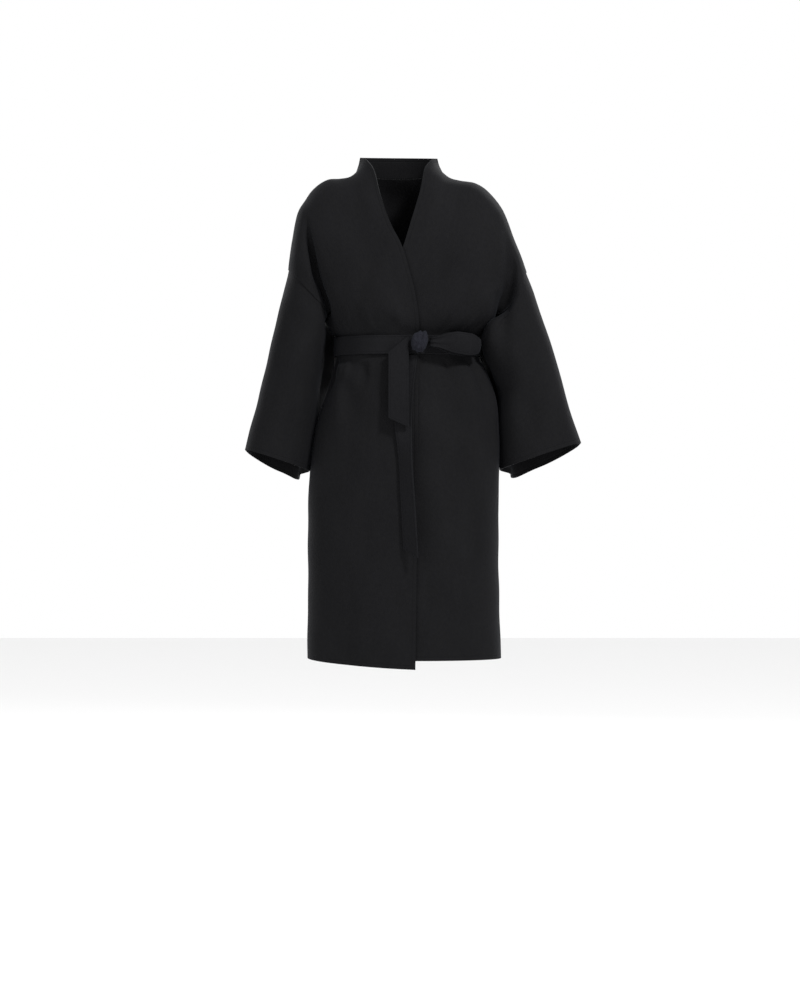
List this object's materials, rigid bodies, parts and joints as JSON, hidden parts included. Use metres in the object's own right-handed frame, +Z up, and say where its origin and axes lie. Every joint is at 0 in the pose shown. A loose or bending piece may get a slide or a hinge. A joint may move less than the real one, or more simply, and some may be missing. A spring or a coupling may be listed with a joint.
{
  "type": "kimono coat",
  "caption": "Knee-length wool kimono coat, worn and tied: lapped fronts, wide dropped sleeves, grown-on collar and a knotted belt.",
  "frame": {"origin": "between the shoulders at the height of the shoulder line, where the wearer's shoulders hold the coat", "axes": "+Z up, along the coat's length; +Y from the front to the back, so the coat faces -Y; +X to the wearer's left"},
  "size_m": [0.672, 0.3065, 1.024],
  "materials": {
    "wool": "matt napped black wool coating",
    "belt_wool": "the same black wool, two layers pressed flat"
  },
  "bodies": {
    "root": {"back": "wool", "front_right": "wool", "front_left": "wool", "sleeve_right": "wool", "sleeve_left": "wool", "neck_stand": "wool", "belt_waist": "belt_wool", "belt_knot": "belt_wool", "belt_loop": "belt_wool", "belt_end_short": "belt_wool", "belt_end_long": "belt_wool", "carrier_right": "belt_wool", "carrier_left": "belt_wool"}
  },
  "joints": []
}
